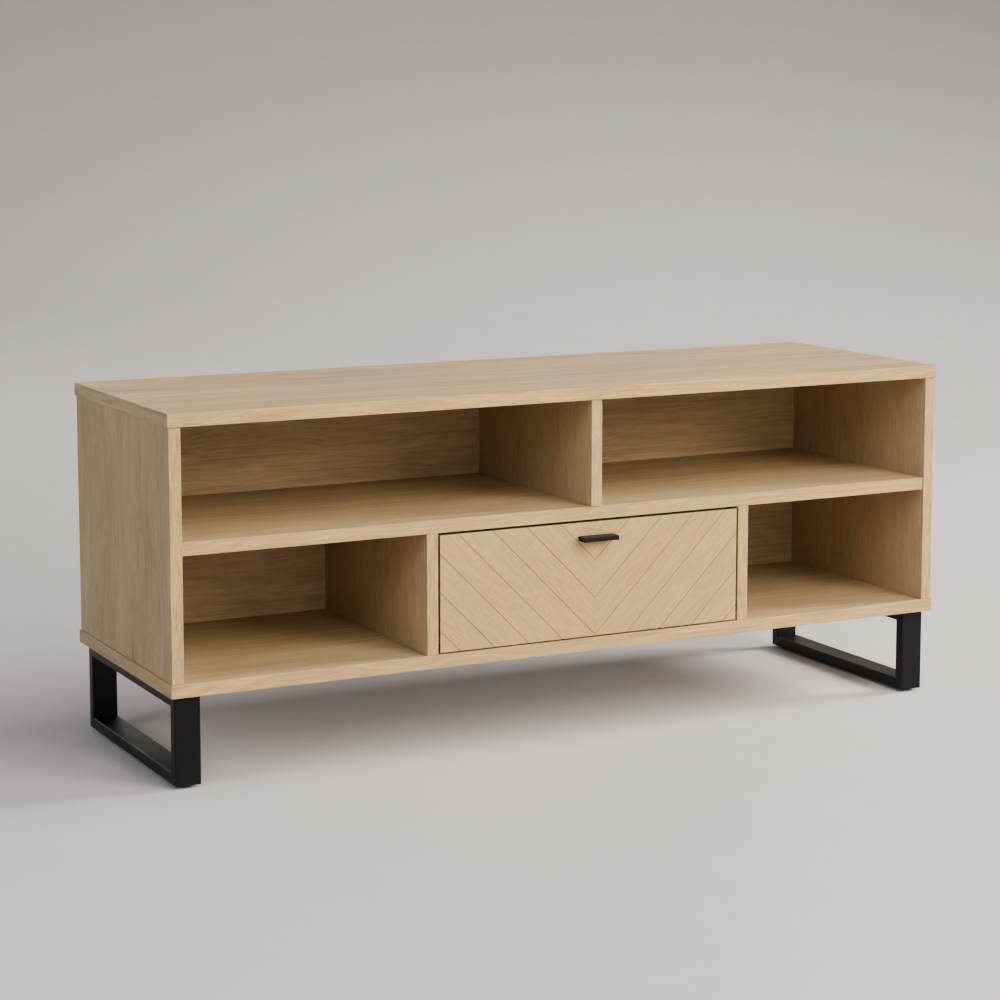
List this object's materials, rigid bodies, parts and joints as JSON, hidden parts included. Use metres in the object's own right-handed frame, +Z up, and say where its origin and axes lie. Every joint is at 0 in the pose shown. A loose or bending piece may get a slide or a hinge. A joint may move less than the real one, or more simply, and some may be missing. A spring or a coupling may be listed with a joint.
{
  "type": "tv stand",
  "caption": "Long, low television stand with open bays and a drop-down chevron flap, on closed rectangular steel leg frames.",
  "frame": {"origin": "on the floor, under the middle of the stand's outer box, flap handle included", "axes": "+X along the stand to the right of someone facing its front, +Y from the front to the rear, +Z up"},
  "size_m": [1.2, 0.3956, 0.493],
  "materials": {
    "oak_board": "light oak veneer, matt lacquer",
    "oak_chevron": "light oak veneer in a chevron, matt lacquer",
    "oak_back": "light oak veneered fibreboard",
    "beech_dowel": "plain beech",
    "black_steel": "matt black powder coat",
    "black_handle": "matt black powder coat",
    "black_plastic": "moulded",
    "brown_plastic": "moulded",
    "dark_magnet": "ground ferrite",
    "nylon": "moulded",
    "brass": "turned brass",
    "zinc_steel": "bright zinc plate"
  },
  "bodies": {
    "cabinet": {"top_board": "oak_board", "bottom_board": "oak_board", "side_left": "oak_board", "side_right": "oak_board", "middle_shelf": "oak_board", "upper_divider": "oak_board", "lower_divider_left": "oak_board", "lower_divider_right": "oak_board", "back_panel": "oak_back", "top_dowels": "beech_dowel", "bottom_dowels": "beech_dowel", "shelf_dowels": "beech_dowel", "cam_discs": "zinc_steel", "cam_bolts": "zinc_steel", "carcass_screws": "zinc_steel", "back_panel_screws": "zinc_steel", "leg_mounting_screws": "zinc_steel", "floor_glides": "black_plastic", "hinge_bushes": "nylon", "stay_studs": "zinc_steel", "stay_plate_screws": "zinc_steel", "catch_body": "brown_plastic", "catch_magnet": "dark_magnet", "catch_screws": "zinc_steel", "stay_plate_left": "zinc_steel", "stay_plate_right": "zinc_steel", "leg_left_bottom_rail": "black_steel", "leg_left_rear_post": "black_steel", "leg_left_top_rail": "black_steel", "leg_left_front_post": "black_steel", "leg_right_bottom_rail": "black_steel", "leg_right_rear_post": "black_steel", "leg_right_top_rail": "black_steel", "leg_right_front_post": "black_steel"},
    "flap": {"flap_door": "oak_chevron", "flap_handle": "black_handle", "handle_screws": "zinc_steel", "hinge_sleeves": "brass", "hinge_pins": "zinc_steel", "stay_rivets": "zinc_steel", "stay_bracket_left": "zinc_steel", "stay_bracket_right": "zinc_steel", "stay_bracket_screws": "zinc_steel", "strike_plate": "zinc_steel", "strike_screws": "zinc_steel"},
    "stay_left": {"stay_arm_left": "zinc_steel"},
    "stay_right": {"stay_arm_right": "zinc_steel"}
  },
  "joints": [
    {"name": "flap_hinge", "type": "hinge", "parent": "cabinet", "child": "flap", "pos_m": [0.019, -0.1712, 0.16], "axis": [1, 0, 0], "range_deg": [0, 90]},
    {"name": "stay_pivot_left", "type": "hinge", "parent": "flap", "child": "stay_left", "pos_m": [-0.21325, -0.1517, 0.25808], "axis": [1, 0, 0], "range_deg": [-45, 0]},
    {"name": "stay_pivot_right", "type": "hinge", "parent": "flap", "child": "stay_right", "pos_m": [0.25125, -0.1517, 0.25808], "axis": [1, 0, 0], "range_deg": [-45, 0]}
  ],
  "couplings": [
    {"joint": "stay_pivot_left", "follows": "flap_hinge", "ratio": -0.5},
    {"joint": "stay_pivot_right", "follows": "flap_hinge", "ratio": -0.5}
  ]
}
